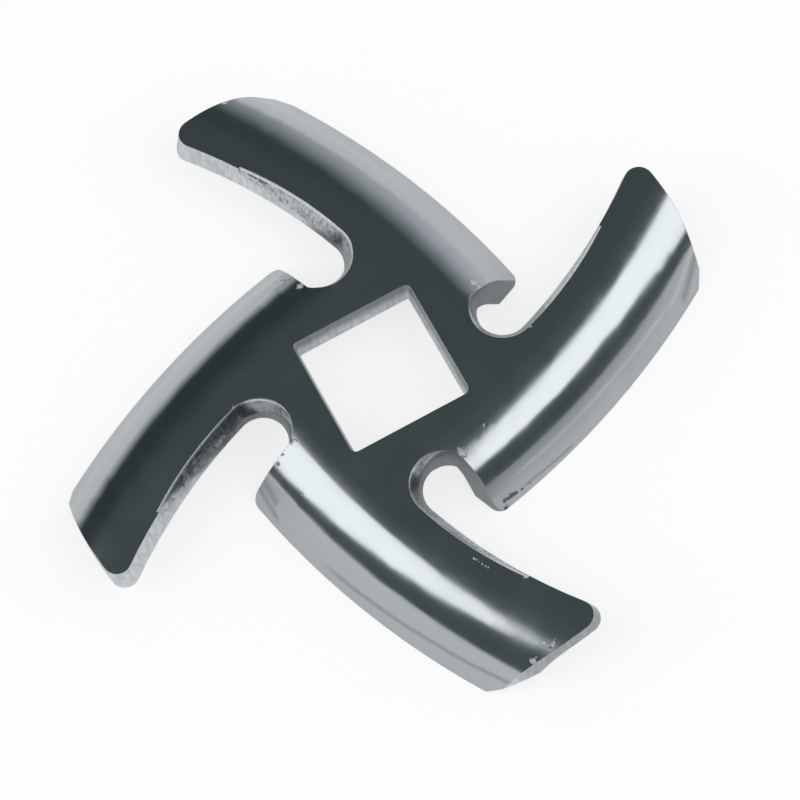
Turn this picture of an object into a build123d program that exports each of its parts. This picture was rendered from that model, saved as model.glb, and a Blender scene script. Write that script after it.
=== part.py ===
from build123d import *
import os
from math import atan, cos, degrees, hypot, radians, sin, sqrt, tan

os.makedirs("parts", exist_ok=True)

# Meat grinder knife: one punched steel plate with four curved arms. The leading
# edge of every arm is bent down and ground flat where it runs on the perforated
# plate. Sizes in millimetres; the ground lands lie on z = 0, the flat face is up.
plate_thickness = 2.0
overall_height = 4.8
underside_z = overall_height - plate_thickness
arm_count = 4

# square hole for the drive shaft, wider at the top
square_top = 9.6
square_bottom = 9.0
square_corner_radius = 0.45

# swept radius of the tip ends
tip_radius = 24.65

# punched walls lean: the bottom of the plate stands out by this much
wall_draft = 0.45

# round notch between two arms, and the concave trailing edge that leaves it
notch_x = -0.12
notch_y = 10.03
notch_radius = 1.95
trailing_center = (-37.1, -2.95)

# convex leading edge, the one that cuts
leading_center = (-48.5, -8.52)
leading_radius = 62.1

# root end of an arm: one plane that cuts across the notch. It passes through a
# point on top of the lip, slants in plan and leans out towards the ground side
root_point = (12.1, 2.6, 0.86)
root_slant = 22.0
root_lean = 0.17

# corners of the blank
root_corner_radius = 0.9
tip_inner_corner_radius = 1.1
tip_outer_corner_radius = 0.5

# lip: where the plate starts to roll over inside the leading edge, the slow first
# arc, the bend proper, how far it turns down, and the facet along the edge
roll_inset = 6.2
roll_radius_top = 9.0
roll_angle = 10.0
bend_radius_top = 4.6
bend_angle = 58.0
facet_width = 0.8

# beside the notch the roll fades in down a shallow slope
fade_top_y = -0.16
fade_slope = 0.15
fade_inner_x = 6.0
fade_outer_x = 8.25
fade_end_y = 1.4

# hand bevel on top of the trailing edge, from the notch to a step near the tip
bevel_center = (-25.0, 2.08)
bevel_notch_x = 0.15
bevel_notch_radius = 2.55
bevel_run = 0.8
bevel_depth = 1.45
bevel_end_angle = 36.2

# relief under the tip ends
relief_radial = 0.5
relief_height = 0.95

# the trailing edge is an arc that touches the notch circle from outside
trailing_reach = hypot(notch_x - trailing_center[0], notch_y - trailing_center[1])
trailing_radius = trailing_reach + notch_radius
touch_ratio = trailing_radius / trailing_reach
touch_x = trailing_center[0] + (notch_x - trailing_center[0]) * touch_ratio
touch_y = trailing_center[1] + (notch_y - trailing_center[1]) * touch_ratio


def trailing_x(y):
    """x of the trailing edge of the +Y arm at height y of the plan."""
    return trailing_center[0] + sqrt(trailing_radius**2 - (y - trailing_center[1]) ** 2)


def leading_x(y):
    """x of the leading edge of the +Y arm at height y of the plan."""
    return leading_center[0] + sqrt(leading_radius**2 - (y - leading_center[1]) ** 2)


def crossing(center, radius, end_radius):
    """Upper crossing of an edge circle with the swept circle about the axis."""
    span = hypot(center[0], center[1])
    along = (end_radius**2 - radius**2 + span**2) / (2 * span)
    across = sqrt(end_radius**2 - along**2)
    ux = center[0] / span
    uy = center[1] / span
    return (along * ux + across * uy, along * uy - across * ux)


def all_arms(point):
    """The same point of the plan on all four arms."""
    x, y = point
    return [(x, y), (-y, x), (-x, -y), (y, -x)]


def near(vertices, point):
    """The vertices of a plan that sit on the given point of any arm."""
    spots = all_arms(point)
    return vertices.filter_by(lambda v: min(hypot(v.X - x, v.Y - y) for x, y in spots) < 0.05)


def rising(edges):
    """The edges that rise through the plate."""
    return edges.filter_by(lambda e: abs(e.start_point().Z - e.end_point().Z) > 1.0)


def tip_edges(edges, point):
    """The rising edges at the given point of any arm."""
    spots = all_arms(point)
    return rising(edges).filter_by(
        lambda e: min(hypot(e.center().X - x, e.center().Y - y) for x, y in spots) < 0.8
    )


# the gap runs on from the notch circle by a tangent that stays behind the root
# plane; the notch is the +Y arm's own notch turned by a quarter
behind = radians(root_slant + 6.0)
foot = (notch_y - notch_radius * sin(behind), -notch_x + notch_radius * cos(behind))
reach_x = foot[0] - leading_center[0]
reach_y = foot[1] - leading_center[1]
half_b = reach_x * cos(behind) + reach_y * sin(behind)
run_out = -half_b + sqrt(half_b**2 - reach_x**2 - reach_y**2 + leading_radius**2)
gap_corner = (foot[0] + run_out * cos(behind), foot[1] + run_out * sin(behind))
far = 27.0

# gap in front of the +Y arm: leading edge on one side, the trailing edge of the
# next arm on the other, the notch at its inner end
with BuildSketch(Plane.XY) as gap:
    with BuildLine():
        Line(foot, gap_corner)
        ThreePointArc(gap_corner, (leading_x(14.0), 14.0), (leading_x(far), far))
        Line((leading_x(far), far), (far + 7.0, far))
        Line((far + 7.0, far), (far, -trailing_x(far)))
        ThreePointArc((far, -trailing_x(far)), (18.0, -trailing_x(18.0)), (touch_y, -touch_x))
        ThreePointArc((touch_y, -touch_x), (notch_y - notch_radius, -notch_x), foot)
    make_face()


def blank_plan(end_radius):
    """Outline of the flat blank without its root ends."""
    with BuildSketch(Plane.XY) as plan:
        Circle(end_radius)
        with PolarLocations(0.0, arm_count):
            add(gap.sketch, mode=Mode.SUBTRACT)
    return plan.sketch


inner_tip = crossing(trailing_center, trailing_radius, tip_radius)
outer_tip = crossing(leading_center, leading_radius, tip_radius)

# upright walls round the lips
with BuildPart() as lower:
    with BuildSketch(Plane.XY) as lower_plan:
        add(blank_plan(tip_radius))
        fillet(near(lower_plan.vertices(), outer_tip), radius=tip_outer_corner_radius)
    extrude(amount=overall_height)

# leaning walls through the plate, cut to length by upright tip ends
with BuildPart() as plate:
    with BuildSketch(Plane.XY.offset(underside_z)):
        add(blank_plan(tip_radius + 1.0))
    extrude(amount=plate_thickness, taper=degrees(atan(wall_draft / plate_thickness)))
    with BuildSketch(Plane.XY.offset(underside_z)):
        Circle(tip_radius)
    extrude(amount=plate_thickness, mode=Mode.INTERSECT)
    fillet(tip_edges(plate.edges(), inner_tip), radius=tip_inner_corner_radius)

# root end of the +Y arm: a block behind the root plane, inside the leading edge,
# with its front corner rounded
slant = radians(root_slant)
root_frame = Plane(
    origin=root_point,
    x_dir=(cos(slant), sin(slant), 0.0),
    z_dir=(-sin(slant), cos(slant), -root_lean * cos(slant)),
)
with BuildPart() as root_end:
    with BuildSketch(root_frame):
        with Locations((-1.8, 0.0)):
            Rectangle(7.0, 14.0)
    extrude(amount=2.5)
    with BuildSketch(Plane.XY):
        with Locations(leading_center):
            Circle(leading_radius)
    extrude(amount=overall_height, mode=Mode.INTERSECT)
    front = rising(root_end.edges()).filter_by(lambda e: e.center().X > 12.0).sort_by(Axis.Y)[0]
    fillet(front, radius=root_corner_radius)

with BuildPart() as blank:
    add(lower.part)
    with BuildSketch(Plane.XY.offset(underside_z)):
        Circle(tip_radius + 1.0)
    extrude(amount=plate_thickness, mode=Mode.SUBTRACT)
    add(plate.part)
    add(lower.part, mode=Mode.INTERSECT)
    with PolarLocations(0.0, arm_count):
        add(root_end.part)

# section of the bent lip in an upright plane through the leading edge's centre:
# flat plate, slow roll, bend, straight slope, facet, ground land, and back up
# underneath at the same thickness
roll_turn = radians(roll_angle)
bend_turn = radians(bend_angle)
roll_start = leading_radius - roll_inset
roll_center_z = overall_height - roll_radius_top
bend_center_r = roll_start + (roll_radius_top - bend_radius_top) * sin(roll_turn)
bend_center_z = roll_center_z + (roll_radius_top - bend_radius_top) * cos(roll_turn)


def roll_point(depth, angle):
    """Point of the slow arc at a depth under the top face."""
    radius = roll_radius_top - depth
    return (roll_start + radius * sin(angle), roll_center_z + radius * cos(angle))


def bend_point(depth, angle):
    """Point of the bend at a depth under the top face."""
    radius = bend_radius_top - depth
    return (bend_center_r + radius * sin(angle), bend_center_z + radius * cos(angle))


half_turn = (roll_turn + bend_turn) / 2
top_edge = (roll_start, overall_height)
top_roll = roll_point(0.0, roll_turn)
top_end = bend_point(0.0, bend_turn)
facet_r = leading_radius - facet_width
facet_top = (facet_r, top_end[1] - (facet_r - top_end[0]) * tan(bend_turn))
cutting_edge = (leading_radius, 0.0)
under_end = bend_point(plate_thickness, bend_turn)
under_roll = roll_point(plate_thickness, roll_turn)
land_inner = (under_end[0] + under_end[1] / tan(bend_turn), 0.0)

# the lip sweeps about its own centre, from inside the notch to past the tip
lip_start = radians(8.4)
lip_sweep = 29.0
lip_plane = Plane(
    origin=(leading_center[0], leading_center[1], 0.0),
    x_dir=(cos(lip_start), sin(lip_start), 0.0),
    z_dir=(sin(lip_start), -cos(lip_start), 0.0),
)
lip_axis = Axis((leading_center[0], leading_center[1], 0.0), (0.0, 0.0, 1.0))

with BuildPart() as lip:
    with BuildSketch(lip_plane):
        with BuildLine():
            Line((roll_start, underside_z), top_edge)
            ThreePointArc(top_edge, roll_point(0.0, roll_turn / 2), top_roll)
            ThreePointArc(top_roll, bend_point(0.0, half_turn), top_end)
            Line(top_end, facet_top)
            Line(facet_top, cutting_edge)
            Line(cutting_edge, land_inner)
            Line(land_inner, under_end)
            ThreePointArc(under_end, bend_point(plate_thickness, half_turn), under_roll)
            ThreePointArc(
                under_roll, roll_point(plate_thickness, roll_turn / 2), (roll_start, underside_z)
            )
        make_face()
    revolve(axis=lip_axis, revolution_arc=lip_sweep)

# what the bend takes away from the top of the flat plate, less a wedge beside the
# notch, so that the roll starts without a step
outside = leading_radius + 3.0
above = overall_height + 1.0
fade_start_y = fade_top_y - 0.4
with BuildPart() as above_lip:
    with BuildSketch(lip_plane):
        with BuildLine():
            ThreePointArc(top_edge, roll_point(0.0, roll_turn / 2), top_roll)
            ThreePointArc(top_roll, bend_point(0.0, half_turn), top_end)
            Line(top_end, facet_top)
            Line(facet_top, cutting_edge)
            Line(cutting_edge, (outside, 0.0))
            Line((outside, 0.0), (outside, above))
            Line((outside, above), (roll_start, above))
            Line((roll_start, above), top_edge)
        make_face()
    revolve(axis=lip_axis, revolution_arc=lip_sweep)
    with BuildSketch(Plane.YZ.offset(fade_inner_x)):
        with BuildLine():
            Polyline(
                (fade_start_y, underside_z),
                (fade_start_y, overall_height + fade_slope * (fade_top_y - fade_start_y)),
                (fade_end_y, overall_height - fade_slope * (fade_end_y - fade_top_y)),
                (fade_end_y, underside_z),
                close=True,
            )
        make_face()
    extrude(amount=fade_outer_x - fade_inner_x, mode=Mode.SUBTRACT)

# bevel cutter of the trailing edge: a sloping ring about the bevel's centre,
# with a cone where it runs into the notch
notch_side = hypot(bevel_notch_x - bevel_center[0], notch_y - bevel_center[1])
bevel_radius = notch_side + bevel_notch_radius
bevel_foot_z = overall_height - bevel_depth
bevel_start = degrees(atan((notch_y - bevel_center[1]) / (bevel_notch_x - bevel_center[0])))
bevel_turn = radians(bevel_start)
bevel_plane = Plane(
    origin=(bevel_center[0], bevel_center[1], 0.0),
    x_dir=(cos(bevel_turn), sin(bevel_turn), 0.0),
    z_dir=(sin(bevel_turn), -cos(bevel_turn), 0.0),
)
bevel_axis = Axis((bevel_center[0], bevel_center[1], 0.0), (0.0, 0.0, 1.0))
clear = 0.5
slope = bevel_run / bevel_depth
with BuildPart() as bevel:
    with BuildSketch(bevel_plane):
        with BuildLine():
            Polyline(
                (bevel_radius - bevel_run, bevel_foot_z),
                (bevel_radius + clear * slope, overall_height + clear),
                (bevel_radius - 4.0, overall_height + clear),
                (bevel_radius - 4.0, bevel_foot_z),
                close=True,
            )
        make_face()
    revolve(axis=bevel_axis, revolution_arc=bevel_end_angle - bevel_start)
    with Locations((bevel_notch_x, notch_y, bevel_foot_z)):
        Cone(
            bevel_notch_radius - bevel_run,
            bevel_notch_radius + clear * slope,
            bevel_depth + clear,
            align=(Align.CENTER, Align.CENTER, Align.MIN),
        )

# relief cone under the tip ends
with BuildPart() as relief:
    with BuildSketch(Plane.XZ):
        with BuildLine():
            Polyline(
                (tip_radius - relief_radial, 0.0),
                (tip_radius, relief_height),
                (tip_radius + 2.0, relief_height),
                (tip_radius + 2.0, -1.0),
                (tip_radius - relief_radial, -1.0),
                close=True,
            )
        make_face()
    revolve(axis=Axis.Z)

# plate and lips, trimmed to the blank, then the cuts made after forming
with BuildPart() as grinder_knife:
    with BuildSketch(Plane.XY.offset(underside_z)):
        Circle(tip_radius + 2.0)
    extrude(amount=plate_thickness)
    with PolarLocations(0.0, arm_count):
        add(above_lip.part, mode=Mode.SUBTRACT)
    with PolarLocations(0.0, arm_count):
        add(lip.part)
    add(blank.part, mode=Mode.INTERSECT)
    with BuildSketch(Plane.XY.offset(overall_height)):
        RectangleRounded(square_top, square_top, square_corner_radius)
    extrude(
        amount=-plate_thickness,
        taper=degrees(atan((square_top - square_bottom) / 2 / plate_thickness)),
        mode=Mode.SUBTRACT,
    )
    with PolarLocations(0.0, arm_count):
        add(bevel.part, mode=Mode.SUBTRACT)
    add(relief.part, mode=Mode.SUBTRACT)

grinder_knife.part.label = "grinder_knife"
export_step(grinder_knife.part, "parts/grinder_knife.step")
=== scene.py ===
"""Meat grinder knife: the polished and ground looks of a four-armed steel knife, and its studio."""

import math

import bpy
from mathutils import Matrix, Vector


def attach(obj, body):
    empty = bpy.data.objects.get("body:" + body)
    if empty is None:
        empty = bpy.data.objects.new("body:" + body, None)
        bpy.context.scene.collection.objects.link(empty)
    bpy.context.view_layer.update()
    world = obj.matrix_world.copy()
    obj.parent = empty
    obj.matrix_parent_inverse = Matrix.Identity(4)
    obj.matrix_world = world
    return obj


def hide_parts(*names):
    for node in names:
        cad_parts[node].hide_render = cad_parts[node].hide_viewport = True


bl_info = {
    "name": "Meat grinder knife",
    "version": (1, 0, 0),
    "blender": (4, 5, 0),
    "location": "View3D > Sidebar > Knife",
    "description": "Finishes a four-armed stamped grinder knife and sets its studio",
    "category": "Object",
}

MM = 0.001
NODE = "grinder_knife"
BODY = "root"

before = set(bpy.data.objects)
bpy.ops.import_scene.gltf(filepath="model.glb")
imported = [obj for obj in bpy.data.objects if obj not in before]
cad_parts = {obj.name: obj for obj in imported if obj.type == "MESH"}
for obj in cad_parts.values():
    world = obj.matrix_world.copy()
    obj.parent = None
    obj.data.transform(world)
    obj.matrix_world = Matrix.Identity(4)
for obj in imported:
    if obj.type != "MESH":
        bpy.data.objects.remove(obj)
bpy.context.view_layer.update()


# ---------------------------------------------------------------- settings

class KnifeFinishSettings(bpy.types.PropertyGroup):
    """Colours and finishes of the steel."""

    steel_color: bpy.props.FloatVectorProperty(
        name="Steel", description="Colour of the bare steel", subtype="COLOR", size=4,
        min=0.0, max=1.0, default=(0.55, 0.588, 0.612, 1.0))
    polish_roughness: bpy.props.FloatProperty(
        name="Polish", description="Roughness of the polished face and lips",
        min=0.0, max=1.0, default=0.17)
    shear_roughness: bpy.props.FloatProperty(
        name="Punched walls", description="Roughness of the punched walls",
        min=0.0, max=1.0, default=0.36)
    edge_radius: bpy.props.FloatProperty(
        name="Edge radius", description="How far the edges are rubbed round",
        unit="LENGTH", min=0.0, max=0.001, default=0.00006)


class KnifeStudioSettings(bpy.types.PropertyGroup):
    """Floor, lamps and camera."""

    floor_color: bpy.props.FloatVectorProperty(
        name="Floor", description="Colour of the floor", subtype="COLOR", size=4,
        min=0.0, max=1.0, default=(0.93, 0.93, 0.93, 1.0))
    lens: bpy.props.FloatProperty(
        name="Lens", description="Focal length of the camera in millimetres",
        min=20.0, max=400.0, default=173.76)
    camera_distance: bpy.props.FloatProperty(
        name="Camera distance", description="From the camera to the middle of the knife",
        unit="LENGTH", min=0.05, max=5.0, default=0.2784)


# ---------------------------------------------------------------- plan of the arms

ARM_COUNT = 4
LEADING_CENTER = Vector((-48.5, -8.52)) * MM
LEADING_RADIUS = 62.1 * MM
LIP_INSET = 6.3 * MM
LIP_OUTSET = 0.3 * MM
LIP_START, LIP_END = math.radians(8.0), math.radians(38.0)
ARM_STRETCH = 0.1

# finishes in the order of the blade's materials
FACE, LIP, WALL, BEVEL, UNDER = range(5)
UNDER_SLOPE, LEANING_SLOPE, FLAT_SLOPE = -0.35, 0.3, 0.999
WELD_GAP = 0.000002
SMOOTH_ANGLE = math.radians(24.0)

# where the finishes change: from the axis, up from the ground lands, and in from the leading edge
DRIVE_HOLE_REACH = (7.2 * MM, 7.8 * MM)
NOTCH_REACH = (13.8 * MM, 12.5 * MM)
BEVEL_NOTCH_REACH = (12.5 * MM, 10.8 * MM)
# a band of painted shade on the hole and notch walls, and a painted highlight on the bevel's top
# rim
SHADED_BAND_RISE = (3.8 * MM, 4.6 * MM)
RIM_HIGHLIGHT_RISE = (4.58 * MM, 4.66 * MM)
FACET_INSET = (1.6 * MM, 0.8 * MM)


def lip_place(point):
    """(arm, angle along, inset from the leading edge, turned place) of a lip's point, or None."""
    x, y = point.x, point.y
    for arm in range(ARM_COUNT):
        reach = Vector((x, y)) - LEADING_CENTER
        angle = math.atan2(reach.y, reach.x)
        inset = LEADING_RADIUS - reach.length
        if LIP_START < angle < LIP_END and -LIP_OUTSET < inset < LIP_INSET:
            return arm, angle, inset, (x, y)
        x, y = -y, x
    return None


def lip_along(arm, angle):
    """Distance along an arm's lip on its map, from the angle in degrees; no two arms overlap."""
    return math.radians(angle) * LEADING_RADIUS + arm * ARM_STRETCH


# ---------------------------------------------------------------- marks

# single marks from stamping and handling, whose colour is painted: the burrs get a painted glint,
# the dents painted shade; x, y, z and reach in millimetres
FACE_BURR_GLINTS = (
    (10.94, -2.61, 4.8, 0.14), (-10.71, 2.63, 4.8, 0.16), (-7.97, -1.36, 4.69, 0.2),
    (-1.16, 7.7, 4.73, 0.12), (1.54, -18.98, 4.78, 0.18), (-1.0, -16.0, 4.8, 0.07),
    (-0.9, -16.2, 4.8, 0.08), (-0.8, -16.4, 4.8, 0.08), (-0.7, -16.65, 4.8, 0.09),
    (-0.58, -16.9, 4.8, 0.08), (-0.48, -17.1, 4.8, 0.07),
)
LIP_BURR_GLINTS = (
    (-0.34, 24.63, 4.36, 0.25), (-2.54, 10.06, 3.67, 0.55), (-2.07, 8.71, 4.47, 0.3),
    (8.98, 2.78, 4.31, 0.26), (9.08, 2.6, 4.28, 0.32), (9.17, 2.4, 4.26, 0.34),
    (9.25, 2.15, 4.25, 0.32), (2.06, -8.59, 4.51, 0.4), (-9.39, -5.25, 3.74, 0.16),
    (0.66, -24.22, 4.54, 0.3), (-0.88, -24.46, 3.84, 0.3),
)
LIP_SHADED_DENTS = (
    (-8.2, -1.6, 4.64, 0.4), (-9.3, -2.1, 4.2, 0.2), (-9.8, -2.5, 3.85, 0.24),
    (3.4, -12.03, 0.74, 0.32), (3.65, -12.0, 0.7, 0.34), (3.9, -11.96, 0.67, 0.34),
    (4.15, -11.92, 0.65, 0.32), (4.4, -11.87, 0.64, 0.28), (4.95, -11.8, 0.52, 0.2),
    (5.65, -11.65, 0.46, 0.16), (3.25, -12.42, 0.12, 0.36),
)
WALL_BURR_GLINTS = ((1.28, -17.89, 4.05, 0.3), (-1.49, -8.05, 4.52, 0.35), (-7.53, 0.56, 4.7, 0.3))
BEVEL_SHADED_DENTS = (
    (-1.31, 18.46, 4.58, 0.22), (-1.15, 18.2, 4.5, 0.2), (-1.0, 17.92, 4.47, 0.24),
    (-0.82, 17.6, 4.47, 0.26), (-0.62, 17.3, 4.46, 0.24), (-0.48, 17.08, 4.46, 0.18),
)

# lines along the lips, painted shade in the first list and a painted highlight in the second: arm,
# start and end in degrees, inset at each end and width in millimetres
SHADED_CREASES = (
    (1, 12.5, 17.5, 0.3, 0.12, 0.12), (2, 17.0, 34.5, 0.42, 1.0, 0.18),
    (1, 29.6, 33.2, 0.3, 1.15, 0.32), (2, 9.3, 12.4, 1.45, 0.95, 0.4),
    (2, 9.3, 13.0, 1.0, 0.35, 0.26),
)
HIGHLIT_CREASES = ((1, 28.6, 33.6, 0.72, 1.52, 0.22), (1, 12.0, 29.0, 1.0, 0.9, 0.17))


# ---------------------------------------------------------------- colours of the finishes, of the painted shade and of the painted highlights

# lighter colour of worn edges, also used for painted highlights and glints
WEAR_AND_HIGHLIGHT_COLOR = (0.84, 0.86, 0.86, 1.0)
# painted shade of dents and dark lines
PAINTED_SHADE_COLOR = (0.1, 0.115, 0.12, 1.0)
TORN_COLORS = (0.6, 0.635, 0.66, 1.0), (0.83, 0.87, 0.9, 1.0)
# painted shade on the notch walls and in a band under their top edge
NOTCH_SHADE_COLOR = (0.24, 0.255, 0.26, 1.0)
TOP_BAND_SHADE_COLOR = (0.17, 0.185, 0.19, 1.0)
SKATED_COLORS = (0.3, 0.322, 0.34, 1.0), (0.63, 0.67, 0.695, 1.0)
FILED_COLORS = (0.34, 0.362, 0.375, 1.0), (0.83, 0.87, 0.895, 1.0)
# painted shade on the bevel near the notch
BEVEL_NOTCH_SHADE_COLOR = (0.2, 0.215, 0.22, 1.0)
# painted highlight along the bevel's top rim
RIM_HIGHLIGHT_COLOR = (0.96, 0.97, 0.97, 1.0)
# edges of the underside: wear and a painted highlight
GROUND_EDGE_WEAR_AND_HIGHLIGHT_COLOR = (0.78, 0.8, 0.8, 1.0)


# ---------------------------------------------------------------- studio

FLOOR_SIZE = 4.0
FLOOR_DROP = 0.00002
FLOOR_GLOW = 1.22
FLOOR_GLOW_SEEN, FLOOR_GLOW_REFLECTED = 0.6, 0.2
PLAIN_LIGHT = 0.5
SIDE_COLORS = (0.76, 1.0, 1.0, 1.0), (0.97, 1.0, 1.02, 1.0)

# soft boxes 1 m away: zenith and azimuth in degrees, outline across and down in metres
SOFT_BOX_GLOW = 1.5
SOFT_BOXES = {
    "left_soft_box": (40.0, 171.0, (
        (-0.45, -0.43), (0.02, -0.41), (0.2, -0.25), (0.26, -0.05), (0.245, 0.12), (0.15, 0.38),
        (-0.05, 0.74), (-0.45, 0.74),
    )),
    "right_soft_box": (41.0, -31.0, (
        (-0.72, 0.0), (-0.68, 0.19), (-0.46, 0.215), (-0.27, 0.29), (-0.18, 0.36), (-0.12, 0.66),
        (0.02, 0.66), (0.02, 0.4), (0.38, 0.4), (0.38, -0.38), (-0.07, -0.41), (-0.17, -0.355),
        (-0.32, -0.25), (-0.56, -0.12),
    )),
}

# dark cards on the floor: low and high corner, where one begins and is full, and which way it fades
CARD_COLOR = (0.085, 0.1, 0.1, 1.0)
DARK_CARDS = {
    "left_dark_card": ((-0.6, -0.6), (-0.03, 0.06), 0.05, 0.3, (-1.0, -0.3)),
    "front_dark_card": ((-0.002, -0.6), (0.6, -0.004), 0.015, 0.042, (0.35, -1.0)),
}

CAMERA_TARGET = Vector((0.048, -2.87, 4.8)) * MM
CAMERA_TILT, CAMERA_AZIMUTH, CAMERA_ROLL = (math.radians(a) for a in (20.01, -105.0, -13.95))
SENSOR_WIDTH = 36.0
CLIP_START, CLIP_END = 0.01, 20.0


# ---------------------------------------------------------------- small helpers

def deselect_all():
    """Clears the selection, which loading the frame leaves on."""
    if bpy.context.object and bpy.context.object.mode != "OBJECT":
        bpy.ops.object.mode_set(mode="OBJECT")
    bpy.ops.object.select_all(action="DESELECT")


def sky_direction(zenith, azimuth):
    """The direction at an angle down from straight up, turned round by another."""
    return Vector((math.sin(zenith) * math.cos(azimuth), math.sin(zenith) * math.sin(azimuth),
                   math.cos(zenith)))


class Nodes:
    """Adds nodes to one tree; a value is either a number or another node's socket."""

    def __init__(self, tree):
        self.tree = tree

    def new(self, kind):
        return self.tree.nodes.new("ShaderNode" + kind)

    def put(self, socket, value):
        if isinstance(value, bpy.types.NodeSocket):
            self.tree.links.new(value, socket)
        else:
            socket.default_value = value

    def add(self, kind, out=0, settings=None, **values):
        node = self.new(kind)
        for name, value in (settings or {}).items():
            setattr(node, name, value)
        for name, value in values.items():
            self.put(node.inputs[name.replace("_", " ")], value)
        return node.outputs[out]

    def math(self, operation, one, two=0.0):
        node = self.new("Math")
        node.operation = operation
        self.put(node.inputs[0], one)
        self.put(node.inputs[1], two)
        return node.outputs[0]

    def times(self, one, two):
        return self.math("MULTIPLY", one, two)

    def vector(self, operation, *values, out="Vector"):
        node = self.new("VectorMath")
        node.operation = operation
        for socket, value in zip(node.inputs, values):
            self.put(socket, value)
        return node.outputs[out]

    def split(self, vector):
        node = self.new("SeparateXYZ")
        self.put(node.inputs[0], vector)
        return node.outputs

    def ramp(self, value, start, end, low=0.0, high=1.0):
        return self.add("MapRange", Value=value, From_Min=start, From_Max=end,
                        To_Min=low, To_Max=high)

    def soft_ramp(self, value, start, end):
        return self.add("MapRange", settings={"interpolation_type": "SMOOTHSTEP"},
                        Value=value, From_Min=start, From_Max=end)

    def stretch(self, vector, scale):
        node = self.new("Mapping")
        self.put(node.inputs["Vector"], vector)
        self.put(node.inputs["Scale"], scale)
        return node.outputs[0]

    def noise(self, vector, scale, detail=2.0, roughness=0.5):
        return self.add("TexNoise", Vector=vector, Scale=scale, Detail=detail, Roughness=roughness)

    def blend(self, factor, one, two):
        node = self.new("Mix")
        node.data_type = "RGBA"
        for name, value in (("Factor", factor), ("A", one), ("B", two)):
            sockets = [i for i in node.inputs if i.name == name and i.enabled]
            self.put(sockets[0], value)
        return next(o for o in node.outputs if o.enabled)

    def bump(self, height, normal, strength, distance):
        return self.add("Bump", Height=height, Normal=normal, Strength=strength, Distance=distance)

    def mix_shaders(self, factor, one, two):
        node = self.new("MixShader")
        for socket, value in zip(node.inputs, (factor, one, two)):
            self.put(socket, value)
        return node.outputs[0]

    def surface(self, shader, kind="OutputMaterial"):
        self.put(self.new(kind).inputs["Surface"], shader)

    def place(self, group, **values):
        """Puts a node group in the tree and returns its outputs."""
        node = self.new("Group")
        node.node_tree = group
        for name, value in values.items():
            self.put(node.inputs[name.replace("_", " ")], value)
        return node.outputs


def new_material(name):
    """An empty node material and its nodes."""
    material = bpy.data.materials.new(name)
    material.use_nodes = True
    material.node_tree.nodes.clear()
    return material, Nodes(material.node_tree)


def new_group(name, inputs, outputs):
    """A node group with named float or vector sockets."""
    tree = bpy.data.node_groups.new(name, "ShaderNodeTree")
    for label, kind, default in inputs:
        socket = tree.interface.new_socket(
            label, in_out="INPUT", socket_type="NodeSocket" + kind)
        if default is not None:
            socket.default_value = default
    for label, kind in outputs:
        tree.interface.new_socket(label, in_out="OUTPUT", socket_type="NodeSocket" + kind)
    given = tree.nodes.new("NodeGroupInput").outputs
    return Nodes(tree), given, tree.nodes.new("NodeGroupOutput").inputs


# ---------------------------------------------------------------- shared effects

def rubbed_and_highlit_edge_group():
    """Rounds the edges in the shading and gives a mask along them, for rubbed wear and a painted
    highlight.
    """
    n, given, result = new_group(
        "rubbed_and_highlit_edge", [("Radius", "Float", 0.00006)], [("Normal", "Vector"), ("Rubbed Highlight", "Float")])
    rounded = n.add("Bevel", settings={"samples": 8}, Radius=given["Radius"])
    plain = n.add("NewGeometry", out="Normal")
    turn = n.vector("DOT_PRODUCT", rounded, plain, out="Value")
    n.put(result["Normal"], rounded)
    n.put(result["Rubbed Highlight"], n.ramp(turn, 0.995, 0.9))
    return n.tree


def steel_grain_group():
    """Cloudy polish and fine hairlines, each in the range 0 to 1."""
    n, given, result = new_group(
        "steel_grain",
        [("Vector", "Vector", None), ("Cloud Scale", "Float", 300.0),
         ("Hair Scale", "Float", 2500.0)],
        [("Cloud", "Float"), ("Hair", "Float")])
    n.put(result["Cloud"], n.noise(given["Vector"], given["Cloud Scale"], 4.0, 0.6))
    n.put(result["Hair"], n.noise(given["Vector"], given["Hair Scale"], 2.0, 0.55))
    return n.tree


def nicks_group():
    """Sparse small dents from handling. Dent is 1 in the middle of a nick."""
    n, given, result = new_group(
        "nicks",
        [("Vector", "Vector", None), ("Density", "Float", 0.25), ("Scale", "Float", 450.0)],
        [("Dent", "Float")])
    wobble = n.add("TexNoise", out="Color", Vector=given["Vector"], Scale=1800.0)
    moved = n.vector("MULTIPLY_ADD", wobble, (0.0005, 0.0005, 0.0005), given["Vector"])
    cell = n.new("TexVoronoi")
    n.put(cell.inputs["Vector"], moved)
    n.put(cell.inputs["Scale"], given["Scale"])
    near = n.ramp(cell.outputs["Distance"], 0.09, 0.03)
    chosen = n.math("LESS_THAN", n.split(cell.outputs["Color"])[0], given["Density"])
    n.put(result["Dent"], n.times(near, chosen))
    return n.tree


def crease_group():
    """A soft line drawn along a lip, from one distance along and inset to another."""
    n, given, result = new_group(
        "crease",
        [("Map", "Vector", None), ("Start", "Float", 0.0), ("End", "Float", 0.01),
         ("Inset", "Float", 0.0005), ("Far Inset", "Float", 0.0005), ("Width", "Float", 0.00008)],
        [("Line", "Float")])
    distance, depth, _ = n.split(given["Map"])
    along = n.ramp(distance, given["Start"], given["End"])
    waver = n.times(n.noise(given["Map"], 350.0), 0.00012)
    inset = n.math("ADD", n.ramp(along, 0.0, 1.0, given["Inset"], given["Far Inset"]), waver)
    off = n.math("ABSOLUTE", n.math("SUBTRACT", depth, inset))
    near = n.soft_ramp(n.math("DIVIDE", off, given["Width"]), 1.0, 0.0)
    fade = n.times(n.ramp(along, 0.0, 0.1), n.ramp(along, 1.0, 0.9))
    n.put(result["Line"], n.times(near, fade))
    return n.tree


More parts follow.
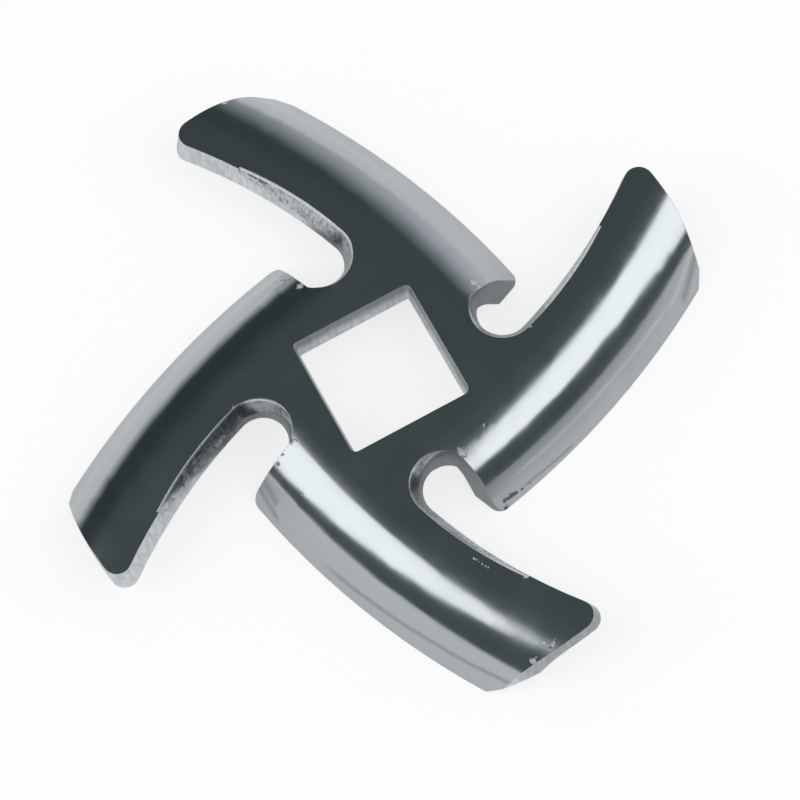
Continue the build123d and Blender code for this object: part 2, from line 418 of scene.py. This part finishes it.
def scar_group():
    """One mark at a place, with a ragged border. Scar is 1 inside it."""
    n, given, result = new_group(
        "scar",
        [("Vector", "Vector", None), ("Place", "Vector", None), ("Reach", "Float", 0.0003)],
        [("Scar", "Float")])
    gap = n.vector("DISTANCE", given["Vector"], given["Place"], out="Value")
    ragged = n.ramp(n.noise(given["Vector"], 2200.0, 4.0, 0.65), 0.32, 0.68, 0.5, 1.9)
    share = n.math("DIVIDE", n.times(gap, ragged), given["Reach"])
    n.put(result["Scar"], n.ramp(share, 1.0, 0.35))
    return n.tree


def total(n, masks):
    """The masks added up and kept within 0 to 1."""
    result = 0.0
    for mask in masks:
        result = n.math("ADD", result, mask)
    return n.math("MINIMUM", result, 1.0)


def scars(n, groups, spot, marks):
    """The marks of one kind as one mask."""
    return total(n, [
        n.place(groups["scar"], Vector=spot, Place=(x * MM, y * MM, z * MM),
                Reach=reach * MM)["Scar"]
        for x, y, z, reach in marks])


def creases(n, groups, along, lines):
    """The lines of one kind as one mask."""
    return total(n, [
        n.place(groups["crease"], Map=along, Start=lip_along(arm, start), End=lip_along(arm, end),
                Inset=inset * MM, Far_Inset=far_inset * MM, Width=width * MM)["Line"]
        for arm, start, end, inset, far_inset, width in lines])


def from_axis(n, spot):
    """How far a place is from the middle line of the drive hole."""
    return n.vector("LENGTH", n.vector("MULTIPLY", spot, (1.0, 1.0, 0.0)), out="Value")


# ---------------------------------------------------------------- finishes

def finish_steel(n, color, roughness, normal):
    """The metal itself, in the material's own tree."""
    n.surface(n.add("BsdfPrincipled", Base_Color=color, Metallic=1.0, Roughness=roughness,
                    Normal=normal))


def polished_material(settings, groups, on_lip):
    """Tumbled and polished steel; the lips also carry long rolling streaks."""
    material, n = new_material("polished_lip" if on_lip else "polished_face")
    spot = n.add("TexCoord", out="Object")
    edge = n.place(groups["edge"], Radius=settings.edge_radius)
    grain = n.place(groups["grain"], Vector=spot)
    nicks = n.place(groups["nicks"], Vector=spot)
    height = n.math("ADD", n.times(grain["Hair"], 0.25), n.times(nicks["Dent"], -1.6))
    # burrs: crushed metal, lightened by a painted glint
    burr_glint = scars(n, groups, spot, LIP_BURR_GLINTS if on_lip else FACE_BURR_GLINTS)
    rubbed_highlight = edge["Rubbed Highlight"]
    # rubbed edges and burrs lightened: partly wear and crushed metal, partly a painted highlight
    # and glint
    color = n.blend(n.math("MAXIMUM", n.times(rubbed_highlight, 0.6), burr_glint), settings.steel_color,
                    WEAR_AND_HIGHLIGHT_COLOR)
    roughness = n.ramp(n.ramp(grain["Cloud"], 0.3, 0.7), 0.0, 1.0,
                       settings.polish_roughness - 0.025, settings.polish_roughness + 0.035)
    if on_lip:
        along = n.add("UVMap", settings={"uv_map": "along_arm"})
        streak = n.noise(n.stretch(along, (60.0, 3200.0, 1.0)), 1.0, 3.0, 0.6)
        facet = n.ramp(n.split(along)[1], *FACET_INSET)
        height = n.math("ADD", height, n.times(streak, n.ramp(facet, 0.0, 1.0, 0.5, 1.3)))
        dark = creases(n, groups, along, SHADED_CREASES)
        light = creases(n, groups, along, HIGHLIT_CREASES)
        dent_shade = scars(n, groups, spot, LIP_SHADED_DENTS)
        height = n.math("ADD", height, n.times(dent_shade, -2.0))
        # painted shade in the dents and along the dark lines
        shaded = n.math("MAXIMUM", n.times(dark, 0.36), n.times(dent_shade, 0.92))
        color = n.blend(shaded, color, PAINTED_SHADE_COLOR)
        # painted highlight along the light lines
        color = n.blend(n.times(light, 0.4), color, WEAR_AND_HIGHLIGHT_COLOR)
        roughness = n.math("ADD", roughness, n.times(facet, 0.09))
    roughness = n.math("MAXIMUM", roughness, n.times(n.math("MAXIMUM", rubbed_highlight, burr_glint), 0.5))
    normal = n.bump(height, edge["Normal"], 0.18, 0.00002)
    crushed = n.times(burr_glint, n.noise(spot, 3400.0, 3.0, 0.7))
    normal = n.bump(crushed, normal, 0.55, 0.0003)
    finish_steel(n, color, roughness, normal)
    return material


def sheared_material(settings, groups):
    """Punched wall: upright tear marks, with painted shade on the notch walls and in a band under
    the top edge of the hole and notch walls.
    """
    material, n = new_material("sheared_wall")
    spot = n.add("TexCoord", out="Object")
    edge = n.place(groups["edge"], Radius=settings.edge_radius * 1.5)
    grain = n.place(groups["grain"], Vector=spot)
    tear = n.noise(n.stretch(spot, (3000.0, 3000.0, 420.0)), 1.0, 3.0, 0.6)
    fine = n.noise(n.stretch(spot, (9000.0, 9000.0, 2200.0)), 1.0, 2.0, 0.6)
    rise = n.math("ADD", n.split(spot)[2], n.times(n.noise(spot, 500.0, 3.0), 0.0007))
    reach = from_axis(n, spot)
    inner = n.ramp(reach, *NOTCH_REACH)
    notch = n.times(inner, n.ramp(reach, *DRIVE_HOLE_REACH))
    band = n.times(n.ramp(rise, *SHADED_BAND_RISE), inner)
    height = n.math("ADD", tear, n.times(fine, 0.4))
    normal = n.bump(height, edge["Normal"], 0.32, 0.00004)
    color = n.blend(n.ramp(tear, 0.3, 0.66), *TORN_COLORS)
    # painted shade: darker notch walls, and a dark band under the top edge of the hole and notch
    # walls
    color = n.blend(n.times(notch, 0.78), color, NOTCH_SHADE_COLOR)
    color = n.blend(n.times(band, 0.7), color, TOP_BAND_SHADE_COLOR)
    # rubbed edges and burrs lightened: partly wear and crushed metal, partly a painted highlight
    # and glint
    worn_and_highlit = n.math("MAXIMUM", edge["Rubbed Highlight"], scars(n, groups, spot, WALL_BURR_GLINTS))
    color = n.blend(n.times(worn_and_highlit, 0.7), color, WEAR_AND_HIGHLIGHT_COLOR)
    roughness = n.ramp(grain["Cloud"], 0.3, 0.7,
                       settings.shear_roughness - 0.08, settings.shear_roughness + 0.1)
    roughness = n.math("MAXIMUM", roughness, n.times(worn_and_highlit, 0.55))
    finish_steel(n, color, roughness, normal)
    return material


def filed_material(settings, groups):
    """Hand bevel: smooth where the file skated, rough light patches low down, painted shade near
    the notch, and a painted highlight along the top rim.
    """
    material, n = new_material("filed_bevel")
    spot = n.add("TexCoord", out="Object")
    edge = n.place(groups["edge"], Radius=settings.edge_radius * 4.0)
    strokes = n.noise(n.stretch(spot, (3800.0, 3800.0, 700.0)), 1.0, 3.0, 0.65)
    rise = n.split(spot)[2]
    shift = n.ramp(rise, 0.0045, 0.0035, -0.13, 0.07)
    patches = n.ramp(n.math("ADD", n.noise(spot, 380.0, 4.0, 0.65), shift), 0.47, 0.58)
    notch = n.ramp(from_axis(n, spot), *BEVEL_NOTCH_REACH)
    patches = n.times(patches, n.ramp(notch, 0.0, 1.0, 1.0, 0.25))
    ragged_rise = n.math("ADD", rise, n.times(n.noise(spot, 700.0), 0.00006))
    # where the painted highlight runs along the top rim, weaker near the notch
    rim_highlight = n.times(n.ramp(ragged_rise, *RIM_HIGHLIGHT_RISE), n.ramp(notch, 0.0, 1.0, 1.0, 0.6))
    height = n.times(strokes, n.ramp(patches, 0.0, 1.0, 0.16, 1.0))
    normal = n.bump(height, edge["Normal"], 0.6, 0.00006)
    filed_color = n.blend(n.ramp(strokes, 0.35, 0.62), *FILED_COLORS)
    skated_color = n.blend(n.ramp(strokes, 0.34, 0.56), *SKATED_COLORS)
    color = n.blend(patches, skated_color, filed_color)
    # painted shade on the bevel near the notch
    color = n.blend(n.times(notch, 0.55), color, BEVEL_NOTCH_SHADE_COLOR)
    # painted shade in the dents
    color = n.blend(n.times(scars(n, groups, spot, BEVEL_SHADED_DENTS), 0.85), color, PAINTED_SHADE_COLOR)
    # painted highlight along the top rim
    color = n.blend(rim_highlight, color, RIM_HIGHLIGHT_COLOR)
    roughness = n.math("MAXIMUM", n.ramp(patches, 0.0, 1.0, 0.2, 0.42), n.times(rim_highlight, 0.34))
    finish_steel(n, color, roughness, normal)
    return material


def ground_material(settings, groups):
    """Underside and ground lands: straight grinding lines in a duller steel."""
    material, n = new_material("ground_under")
    spot = n.add("TexCoord", out="Object")
    edge = n.place(groups["edge"], Radius=settings.edge_radius)
    grain = n.place(groups["grain"], Vector=spot)
    lines = n.noise(n.stretch(spot, (140.0, 5200.0, 5200.0)), 1.0, 3.0, 0.6)
    normal = n.bump(lines, edge["Normal"], 0.3, 0.00002)
    # edges lightened: partly wear, partly a painted highlight
    color = n.blend(n.times(edge["Rubbed Highlight"], 0.5), settings.steel_color, GROUND_EDGE_WEAR_AND_HIGHLIGHT_COLOR)
    finish_steel(n, color, n.ramp(grain["Cloud"], 0.3, 0.7, 0.24, 0.36), normal)
    return material


# ---------------------------------------------------------------- operators

class KNIFE_OT_finish_blade(bpy.types.Operator):
    """Dress the stamped knife in its steel"""

    bl_idname = "knife.finish_blade"
    bl_label = "Finish the knife"

    def execute(self, context):
        settings = context.scene.knife_finish
        blade = self.joined_copy(context)
        groups = {
            "edge": rubbed_and_highlit_edge_group(),
            "grain": steel_grain_group(),
            "nicks": nicks_group(),
            "crease": crease_group(),
            "scar": scar_group(),
        }
        blade.data.materials.clear()
        for material in (
            polished_material(settings, groups, on_lip=False),
            polished_material(settings, groups, on_lip=True),
            sheared_material(settings, groups),
            filed_material(settings, groups),
            ground_material(settings, groups),
        ):
            blade.data.materials.append(material)
        self.sort_faces(blade.data)
        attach(blade, BODY)
        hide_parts(NODE)
        return {"FINISHED"}

    def joined_copy(self, context):
        """The knife's solid as one closed skin, smooth over its curves and sharp at its edges."""
        deselect_all()
        blade = bpy.data.objects.new("knife_blade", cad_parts[NODE].data.copy())
        context.scene.collection.objects.link(blade)
        context.view_layer.objects.active = blade
        blade.select_set(True)
        bpy.ops.mesh.customdata_custom_splitnormals_clear()
        bpy.ops.object.mode_set(mode="EDIT")
        bpy.ops.mesh.select_all(action="SELECT")
        bpy.ops.mesh.remove_doubles(threshold=WELD_GAP)
        bpy.ops.object.mode_set(mode="OBJECT")
        bpy.ops.object.shade_smooth_by_angle(angle=SMOOTH_ANGLE, keep_sharp_edges=False)
        bpy.ops.object.modifier_add(type="WEIGHTED_NORMAL")
        modifier = blade.modifiers[-1]
        modifier.keep_sharp = True
        modifier.weight = 50
        bpy.ops.object.modifier_apply(modifier=modifier.name)
        return blade

    def sort_faces(self, mesh):
        """Gives each face its finish, and the lips a map that runs along the arm."""
        along = mesh.uv_layers.new(name="along_arm")
        for face in mesh.polygons:
            spot = lip_place(face.center)
            face.material_index = self.finish_of(face, spot)
            if spot:
                for corner in face.loop_indices:
                    point = mesh.vertices[mesh.loops[corner].vertex_index].co
                    here = lip_place(point) or spot
                    along.data[corner].uv = (
                        here[1] * LEADING_RADIUS + here[0] * ARM_STRETCH, here[2])

    def finish_of(self, face, spot):
        """Which finish a face gets, from the way it leans."""
        up = face.normal.z
        if up < UNDER_SLOPE:
            return UNDER
        if up > FLAT_SLOPE:
            return FACE
        if up > LEANING_SLOPE:
            return LIP if spot and self.faces_out(face, spot) else BEVEL
        return WALL

    def faces_out(self, face, spot):
        """True for the top of a lip, which leans to its leading edge, unlike a bevel."""
        arm, _, _, turned_place = spot
        turned = face.normal.xy
        for _ in range(arm):
            turned = Vector((-turned.y, turned.x))
        return turned.dot(Vector(turned_place) - LEADING_CENTER) > 0.0


class KNIFE_OT_set_stage(bpy.types.Operator):
    """Add the floor, the soft lamps and the camera"""

    bl_idname = "knife.set_stage"
    bl_label = "Set the stage"

    def execute(self, context):
        settings = context.scene.knife_studio
        self.add_floor(settings)
        self.add_world(context)
        for name, box in SOFT_BOXES.items():
            self.add_soft_box(name, *box)
        for name, card in DARK_CARDS.items():
            self.add_card(name, *card)
        self.add_camera(context, settings)
        context.scene.view_settings.view_transform = "Standard"
        return {"FINISHED"}

    def add_floor(self, settings):
        """A pale floor that keeps a faint shadow and shows white to the camera."""
        deselect_all()
        bpy.ops.mesh.primitive_plane_add(size=FLOOR_SIZE, location=(0.0, 0.0, -FLOOR_DROP))
        floor = bpy.context.object
        floor.name = "floor"
        material, n = new_material("pale_floor")
        path = n.new("LightPath").outputs
        lifted = n.math("ADD", n.times(path["Is Camera Ray"], FLOOR_GLOW_SEEN),
                        n.times(path["Is Glossy Ray"], FLOOR_GLOW_REFLECTED))
        n.surface(n.mix_shaders(lifted, n.add("BsdfDiffuse", Color=settings.floor_color),
                                n.add("Emission", Strength=FLOOR_GLOW)))
        floor.data.materials.append(material)

    def add_world(self, context):
        """A plain soft light, with dark and pale sides that only the steel's reflections see."""
        world = bpy.data.worlds.new("studio")
        context.scene.world = world
        world.use_nodes = True
        world.node_tree.nodes.clear()
        n = Nodes(world.node_tree)
        x, y, z = n.split(n.add("TexCoord", out="Generated"))
        side_wall = n.times(n.ramp(x, 0.35, 0.93, 0.0, 0.75), n.ramp(y, -0.1, 0.25))
        back_rim = n.times(n.ramp(z, 0.34, -0.02, 0.0, 0.75),
                           n.ramp(n.math("ADD", x, y), 0.2, 0.5))
        gloom = n.ramp(y, 0.65, 0.2, 0.045, 0.1)
        level = n.math("MAXIMUM", n.math("MAXIMUM", side_wall, back_rim), gloom)
        tint = n.blend(n.ramp(level, 0.1, 0.4), *SIDE_COLORS)
        sides = n.add("Background", Color=tint, Strength=level)
        plain = n.add("Background", Strength=PLAIN_LIGHT)
        white = n.add("Background", Color=(1.0, 1.0, 1.0, 1.0))
        path = n.new("LightPath").outputs
        lit = n.mix_shaders(path["Is Glossy Ray"], plain, sides)
        n.surface(n.mix_shaders(path["Is Camera Ray"], lit, white), kind="OutputWorld")

    def add_soft_box(self, name, zenith, azimuth, outline):
        """A glowing panel that faces the knife."""
        azimuth = math.radians(azimuth)
        away = sky_direction(math.radians(zenith), azimuth)
        across = Vector((-math.sin(azimuth), math.cos(azimuth), 0.0))
        down = away.cross(across)
        if down.z > 0.0:
            down = -down
        deselect_all()
        bpy.ops.mesh.primitive_circle_add(vertices=len(outline), radius=0.5, fill_type="NGON")
        panel = bpy.context.object
        panel.name = name
        for vertex, (x, y) in zip(panel.data.vertices, outline):
            vertex.co = away + across * x + down * y
        panel.visible_camera = False
        material, n = new_material(name)
        n.surface(n.add("Emission", Strength=SOFT_BOX_GLOW))
        panel.data.materials.append(material)

    def add_card(self, name, low, high, near, far, slant):
        """A dark card on the floor that only the steel's reflections see, faded in softly."""
        deselect_all()
        middle = ((low[0] + high[0]) / 2, (low[1] + high[1]) / 2, 0.0)
        bpy.ops.mesh.primitive_plane_add(size=1.0, location=middle)
        card = bpy.context.object
        card.name = name
        card.scale = (high[0] - low[0], high[1] - low[1], 1.0)
        bpy.ops.object.transform_apply(location=True, rotation=True, scale=True)
        for ray in ("camera", "diffuse", "shadow", "transmission"):
            setattr(card, "visible_" + ray, False)
        material, n = new_material(name)
        x, y, _ = n.split(n.add("TexCoord", out="Object"))
        away = n.math("ADD", n.times(x, slant[0]), n.times(y, slant[1]))
        n.surface(n.mix_shaders(n.soft_ramp(away, near, far), n.add("BsdfTransparent"),
                                n.add("Emission", Color=CARD_COLOR)))
        card.data.materials.append(material)

    def add_camera(self, context, settings):
        """A long lens that looks down on the knife."""
        back = sky_direction(CAMERA_TILT, CAMERA_AZIMUTH)
        level_up = -sky_direction(CAMERA_TILT + math.pi / 2, CAMERA_AZIMUTH)
        level_right = (-back).cross(level_up)
        right = math.cos(CAMERA_ROLL) * level_right + math.sin(CAMERA_ROLL) * level_up
        up = -math.sin(CAMERA_ROLL) * level_right + math.cos(CAMERA_ROLL) * level_up
        data = bpy.data.cameras.new("camera")
        data.lens = settings.lens
        data.sensor_width = SENSOR_WIDTH
        data.clip_start = CLIP_START
        data.clip_end = CLIP_END
        camera = bpy.data.objects.new("camera", data)
        context.scene.collection.objects.link(camera)
        turn = Matrix((right, up, back)).transposed().to_4x4()
        place = Matrix.Translation(CAMERA_TARGET + back * settings.camera_distance)
        camera.matrix_world = place @ turn
        context.scene.camera = camera


class KNIFE_PT_panel(bpy.types.Panel):
    """Lists the knife's settings and steps"""

    bl_idname = "KNIFE_PT_panel"
    bl_label = "Grinder knife"
    bl_space_type = "VIEW_3D"
    bl_region_type = "UI"
    bl_category = "Knife"

    def draw(self, context):
        for settings, operator in (
            (context.scene.knife_finish, KNIFE_OT_finish_blade),
            (context.scene.knife_studio, KNIFE_OT_set_stage),
        ):
            box = self.layout.box()
            for name in settings.bl_rna.properties.keys():
                if name not in {"rna_type", "name"}:
                    box.prop(settings, name)
            box.operator(operator.bl_idname)


CLASSES = (
    KnifeFinishSettings,
    KnifeStudioSettings,
    KNIFE_OT_finish_blade,
    KNIFE_OT_set_stage,
    KNIFE_PT_panel,
)


def register():
    for cls in CLASSES:
        bpy.utils.register_class(cls)
    bpy.types.Scene.knife_finish = bpy.props.PointerProperty(type=KnifeFinishSettings)
    bpy.types.Scene.knife_studio = bpy.props.PointerProperty(type=KnifeStudioSettings)


def unregister():
    del bpy.types.Scene.knife_studio
    del bpy.types.Scene.knife_finish
    for cls in reversed(CLASSES):
        bpy.utils.unregister_class(cls)


def main():
    register()
    bpy.ops.knife.finish_blade()
    bpy.ops.knife.set_stage()


if __name__ == "__main__":
    main()
